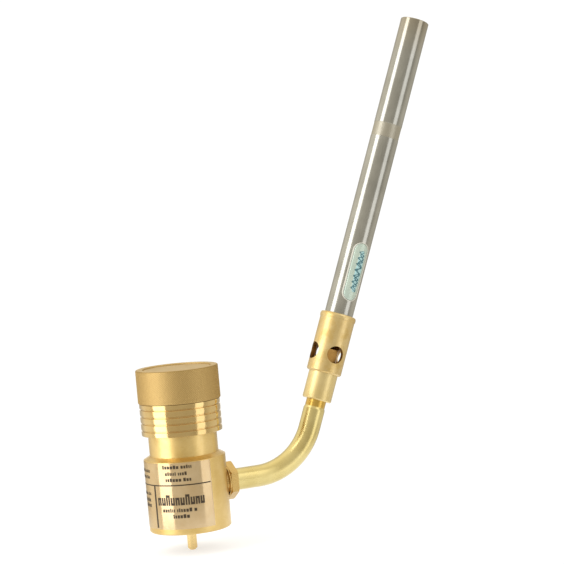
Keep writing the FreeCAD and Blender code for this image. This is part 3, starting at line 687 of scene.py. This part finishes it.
def stadium_rows(bottom, length, half_width, steps=12):
    """Rows of a bar with round ends."""
    rows = []
    for step in range(steps + 1):
        swing = math.pi / 2 * step / steps
        reach = max(half_width * math.sin(swing), 0.02 * half_width)
        rows.append((bottom + half_width * (1 - math.cos(swing)), -reach, reach))
    rows += [(2 * bottom + length - height, left, right) for height, left, right in reversed(rows)]
    return rows


def tube_label_print():
    """Pale face of the oval label, a thin outline and plain looping stripes along it."""
    build = bmesh.new()
    radius = BURNER_RADIUS + LABEL_THICKNESS
    for inset, look in ((TUBE_LABEL_RIM, 2), (TUBE_LABEL_RIM + TUBE_LABEL_LINE, 0)):
        rows = stadium_rows(TUBE_LABEL_BOTTOM + inset, TUBE_LABEL_LENGTH - 2 * inset,
                            TUBE_LABEL_WIDTH / 2 - inset)
        wrapped(build, radius, rows, PRINT_THICKNESS, look=look)
        radius += PRINT_THICKNESS
    for start, end, shift, swing_width, waves, half_width, look in STRIPES:
        rows = []
        for step in range(STRIPE_STEPS + 1):
            along = step / STRIPE_STEPS
            swing = shift + swing_width * math.sin(2 * math.pi * waves * along + shift)
            half = max(half_width * math.sin(math.pi * along) ** 0.3, 0.05)
            height = TUBE_LABEL_BOTTOM + TUBE_LABEL_LENGTH * (start + (end - start) * along)
            rows.append((height, (swing - half) * MM, (swing + half) * MM))
        wrapped(build, radius, rows, PRINT_THICKNESS, look=look, columns=3)
        radius += PRINT_THICKNESS
    build.transform(BURNER_AXIS @ Matrix.Rotation(TUBE_LABEL_ANGLE, 4, "Z"))
    bmesh.ops.recalc_face_normals(build, faces=build.faces)
    new_piece("tube_label_print", build, "housing",
              ("pale_film", "teal", "grey_line", "cyan"))


def add_lights():
    """Two tall soft boxes, each turned to face the knob's axis."""
    middle = Vector((0, 0, LAMP_HEIGHT))
    for name, turn, distance, width, glow in LAMPS:
        light = bpy.data.lights.new(name, "AREA")
        light.shape = "RECTANGLE"
        light.size = width
        light.size_y = LAMP_LENGTH
        light.energy = glow * math.pi * width * LAMP_LENGTH
        lamp = bpy.data.objects.new(name, light)
        bpy.context.scene.collection.objects.link(lamp)
        lamp.location = middle + Vector((math.sin(turn), -math.cos(turn), 0)) * distance
        lamp.rotation_euler = (middle - lamp.location).to_track_quat("-Z", "Y").to_euler()


def add_world():
    """Soft warm-grey studio, lighter on the left and overhead, with a white wall behind the object."""
    world = bpy.data.worlds.new("studio")
    bpy.context.scene.world = world
    world.use_nodes = True
    nodes = world.node_tree.nodes
    links = world.node_tree.links
    direction = nodes.new("ShaderNodeTexCoord").outputs["Generated"]

    def along(vector):
        node = nodes.new("ShaderNodeVectorMath")
        node.operation = "DOT_PRODUCT"
        node.inputs[1].default_value = vector
        links.new(direction, node.inputs[0])
        return node.outputs["Value"]

    def graded(value, low, high, new_low, new_high, kind="LINEAR"):
        node = nodes.new("ShaderNodeMapRange")
        node.interpolation_type = kind
        links.new(value, node.inputs["Value"])
        for name, number in (("From Min", low), ("From Max", high),
                             ("To Min", new_low), ("To Max", new_high)):
            node.inputs[name].default_value = number
        return node.outputs["Result"]

    def combine(operation, first, second):
        node = nodes.new("ShaderNodeVectorMath")
        node.operation = operation
        links.new(first, node.inputs[0])
        if isinstance(second, bpy.types.NodeSocket):
            links.new(second, node.inputs[1])
        else:
            node.inputs[1].default_value = second
        return node.outputs["Vector"]

    sideways = along((math.cos(CAMERA_AZIMUTH), math.sin(CAMERA_AZIMUTH), 0))
    behind = along((-math.sin(CAMERA_AZIMUTH), math.cos(CAMERA_AZIMUTH), 0))
    upward = along((0, 0, 1))
    around = graded(behind, -0.4, 0.2, ROOM_FRONT, ROOM_SIDES, "SMOOTHSTEP")
    leaning = graded(sideways, -1, 1, ROOM_LEFT, ROOM_RIGHT)
    overhead = graded(upward, 0, 1, 0, ROOM_TOP)
    around = combine("MULTIPLY", around, graded(behind, 0.5, 0.85, 1, ROOM_RIM, "SMOOTHSTEP"))
    room = combine("MULTIPLY", around, leaning)
    room = combine("MULTIPLY", combine("ADD", room, overhead), ROOM_TINT)
    wall = graded(behind, 0.93, 0.966, 0, 1, "SMOOTHSTEP")
    blend = nodes.new("ShaderNodeMix")
    blend.data_type = "RGBA"
    links.new(wall, blend.inputs[0])
    links.new(room, blend.inputs[6])
    blend.inputs[7].default_value = (WALL_GLOW, WALL_GLOW, WALL_GLOW, 1)
    links.new(blend.outputs[2], nodes["Background"].inputs["Color"])


def add_floor():
    """Round paper floor that fades out into the studio."""
    bpy.ops.mesh.primitive_circle_add(vertices=96, radius=FLOOR_RADIUS, fill_type="NGON",
                                      location=(FLOOR_CENTRE, 0, CAD_BOX[0][2] - FLOOR_GAP))
    floor = bpy.context.object
    floor.name = "floor"
    graph = Graph("floor_paper", Roughness=0.9, Emission_Color=(1, 1, 1, 1), Emission_Strength=FLOOR_GLOW)
    point = graph.add("ShaderNodeTexCoord").outputs["Object"]
    colour = graph.mix(graph.noise(point, 40.0), (0.50, 0.52, 0.57, 1), (0.53, 0.55, 0.60, 1))
    distance = graph.add("ShaderNodeVectorMath", {0: point}, operation="LENGTH").outputs["Value"]
    cover = graph.remap(distance, FLOOR_RADIUS / 2, FLOOR_RADIUS, 1, 0)
    floor.data.materials.append(graph.feed(Base_Color=colour, Alpha=cover))


def add_camera():
    azimuth, elevation = CAMERA_AZIMUTH, CAMERA_ELEVATION
    back = Vector((
        math.sin(azimuth) * math.cos(elevation),
        -math.cos(azimuth) * math.cos(elevation),
        math.sin(elevation),
    ))
    level = Vector((math.cos(azimuth), math.sin(azimuth), 0))
    upright = back.cross(level)
    right = level * math.cos(CAMERA_ROLL) + upright * math.sin(CAMERA_ROLL)
    up = upright * math.cos(CAMERA_ROLL) - level * math.sin(CAMERA_ROLL)
    place = CAMERA_TARGET + back * CAMERA_DISTANCE
    camera = bpy.data.objects.new("camera", bpy.data.cameras.new("camera"))
    camera.data.lens = CAMERA_LENS
    camera.matrix_world = Matrix((
        (right.x, up.x, back.x, place.x),
        (right.y, up.y, back.y, place.y),
        (right.z, up.z, back.z, place.z),
        (0, 0, 0, 1),
    ))
    bpy.context.scene.collection.objects.link(camera)
    bpy.context.scene.camera = camera


bpy.context.scene.view_settings.view_transform = "Standard"
add_camera()
add_lights()
add_world()
add_floor()
dress_nodes()
flexing_pieces()
control_knob()
body_print()
tube_label_print()

bpy.context.view_layer.update()
